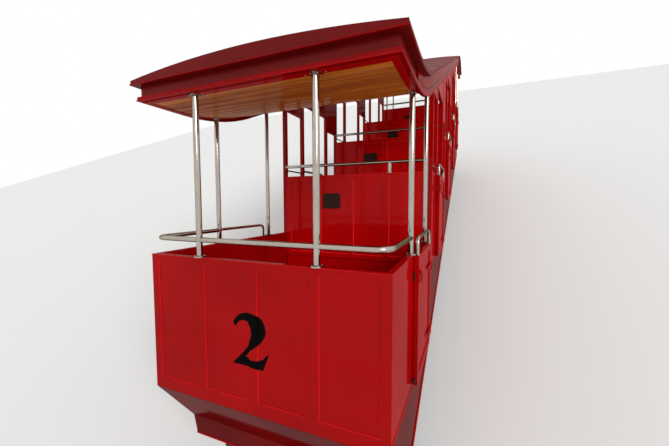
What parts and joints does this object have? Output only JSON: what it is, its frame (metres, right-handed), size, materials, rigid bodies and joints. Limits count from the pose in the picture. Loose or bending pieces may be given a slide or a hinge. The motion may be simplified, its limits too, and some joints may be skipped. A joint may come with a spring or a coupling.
{
  "type": "open stepped funicular car",
  "caption": "Open red funicular car with stepped floors, balconies at both ends, waist-high doors, benches, a sloping roof and chrome handrails.",
  "frame": {"origin": "centre of the footprint, on the floor that the wheel flanges stand on", "axes": "+Y along the track, uphill; +Z square to the track; +X to the right looking uphill. The floors and walls are level and upright once the track slopes at 23.4 degrees"},
  "size_m": [2.28, 11.2718, 3.9083],
  "materials": {
    "red_paint": "glossy deep red paint on timber",
    "chrome_tube": "polished tube",
    "ceiling_boards": "varnished boards",
    "bench_wood": "varnished slats",
    "floor_boards": "dark matt floor",
    "roof_skin": "red paint, weathered on top",
    "frame_steel": "dark grey paint",
    "wheel_steel": "bare steel, bright on the treads",
    "bar_paint": "dark brown paint on steel bar",
    "hinge_steel": "red paint on steel"
  },
  "bodies": {
    "car_body": {"axle_boxes": "frame_steel", "benches_1": "bench_wood", "benches_2": "bench_wood", "benches_3": "bench_wood", "bulkhead_1": "red_paint", "bulkhead_2": "red_paint", "bulkhead_3": "red_paint", "bulkhead_4": "red_paint", "bulkhead_rails": "chrome_tube", "ceiling": "ceiling_boards", "fascia_lower": "red_paint", "fascia_upper": "red_paint", "floors": "floor_boards", "left_door_hinges": "hinge_steel", "left_fascia": "red_paint", "left_posts": "red_paint", "left_skirt": "red_paint", "left_upper_panels": "red_paint", "left_waist_panels": "red_paint", "left_window_bars": "bar_paint", "lower_apron": "red_paint", "lower_balcony_rails": "chrome_tube", "lower_skirt": "red_paint", "rail_brake": "frame_steel", "right_door_hinges": "hinge_steel", "right_fascia": "red_paint", "right_posts": "red_paint", "right_skirt": "red_paint", "right_upper_panels": "red_paint", "right_waist_panels": "red_paint", "right_window_bars": "bar_paint", "roof_lower": "roof_skin", "roof_slope": "roof_skin", "roof_upper": "roof_skin", "rope_anchor": "frame_steel", "underframe": "frame_steel", "upper_apron": "red_paint", "upper_balcony_rails": "chrome_tube"},
    "left_door_0": {"left_door_0": "red_paint", "left_door_fittings_0": "chrome_tube"},
    "left_door_1": {"left_door_1": "red_paint", "left_door_fittings_1": "chrome_tube"},
    "left_door_2": {"left_door_2": "red_paint", "left_door_fittings_2": "chrome_tube"},
    "left_door_3": {"left_door_3": "red_paint", "left_door_fittings_3": "chrome_tube"},
    "left_door_4": {"left_door_4": "red_paint", "left_door_fittings_4": "chrome_tube"},
    "lower_wheelset": {"lower_wheelset": "wheel_steel"},
    "right_door_0": {"right_door_0": "red_paint", "right_door_fittings_0": "chrome_tube"},
    "right_door_1": {"right_door_1": "red_paint", "right_door_fittings_1": "chrome_tube"},
    "right_door_2": {"right_door_2": "red_paint", "right_door_fittings_2": "chrome_tube"},
    "right_door_3": {"right_door_3": "red_paint", "right_door_fittings_3": "chrome_tube"},
    "right_door_4": {"right_door_4": "red_paint", "right_door_fittings_4": "chrome_tube"},
    "upper_wheelset": {"upper_wheelset": "wheel_steel"}
  },
  "joints": [
    {"name": "lower_wheels_roll", "type": "hinge", "parent": "car_body", "child": "lower_wheelset", "pos_m": [0, -2.6701, 0.275], "axis": [1, 0, 0], "continuous": true},
    {"name": "upper_wheels_roll", "type": "hinge", "parent": "car_body", "child": "upper_wheelset", "pos_m": [0, 1.42724, 0.275], "axis": [1, 0, 0], "continuous": true},
    {"name": "left_door_0_swing", "type": "hinge", "parent": "car_body", "child": "left_door_0", "pos_m": [-1.095, -3.82616, 1.28766], "axis": [0, -0.3973, -0.9177], "range_deg": [0, 90]},
    {"name": "left_door_1_swing", "type": "hinge", "parent": "car_body", "child": "left_door_1", "pos_m": [-1.095, -1.77749, 1.28766], "axis": [0, -0.3973, -0.9177], "range_deg": [0, 90]},
    {"name": "left_door_2_swing", "type": "hinge", "parent": "car_body", "child": "left_door_2", "pos_m": [-1.095, 0.27118, 1.28766], "axis": [0, -0.3973, -0.9177], "range_deg": [0, 90]},
    {"name": "left_door_3_swing", "type": "hinge", "parent": "car_body", "child": "left_door_3", "pos_m": [-1.095, 2.31986, 1.28766], "axis": [0, -0.3973, -0.9177], "range_deg": [0, 90]},
    {"name": "left_door_4_swing", "type": "hinge", "parent": "car_body", "child": "left_door_4", "pos_m": [-1.095, 4.36853, 1.28766], "axis": [0, -0.3973, -0.9177], "range_deg": [0, 90]},
    {"name": "right_door_0_swing", "type": "hinge", "parent": "car_body", "child": "right_door_0", "pos_m": [1.095, -3.82616, 1.28766], "axis": [0, 0.3973, 0.9177], "range_deg": [0, 90]},
    {"name": "right_door_1_swing", "type": "hinge", "parent": "car_body", "child": "right_door_1", "pos_m": [1.095, -1.77749, 1.28766], "axis": [0, 0.3973, 0.9177], "range_deg": [0, 90]},
    {"name": "right_door_2_swing", "type": "hinge", "parent": "car_body", "child": "right_door_2", "pos_m": [1.095, 0.27118, 1.28766], "axis": [0, 0.3973, 0.9177], "range_deg": [0, 90]},
    {"name": "right_door_3_swing", "type": "hinge", "parent": "car_body", "child": "right_door_3", "pos_m": [1.095, 2.31986, 1.28766], "axis": [0, 0.3973, 0.9177], "range_deg": [0, 90]},
    {"name": "right_door_4_swing", "type": "hinge", "parent": "car_body", "child": "right_door_4", "pos_m": [1.095, 4.36853, 1.28766], "axis": [0, 0.3973, 0.9177], "range_deg": [0, 90]}
  ]
}
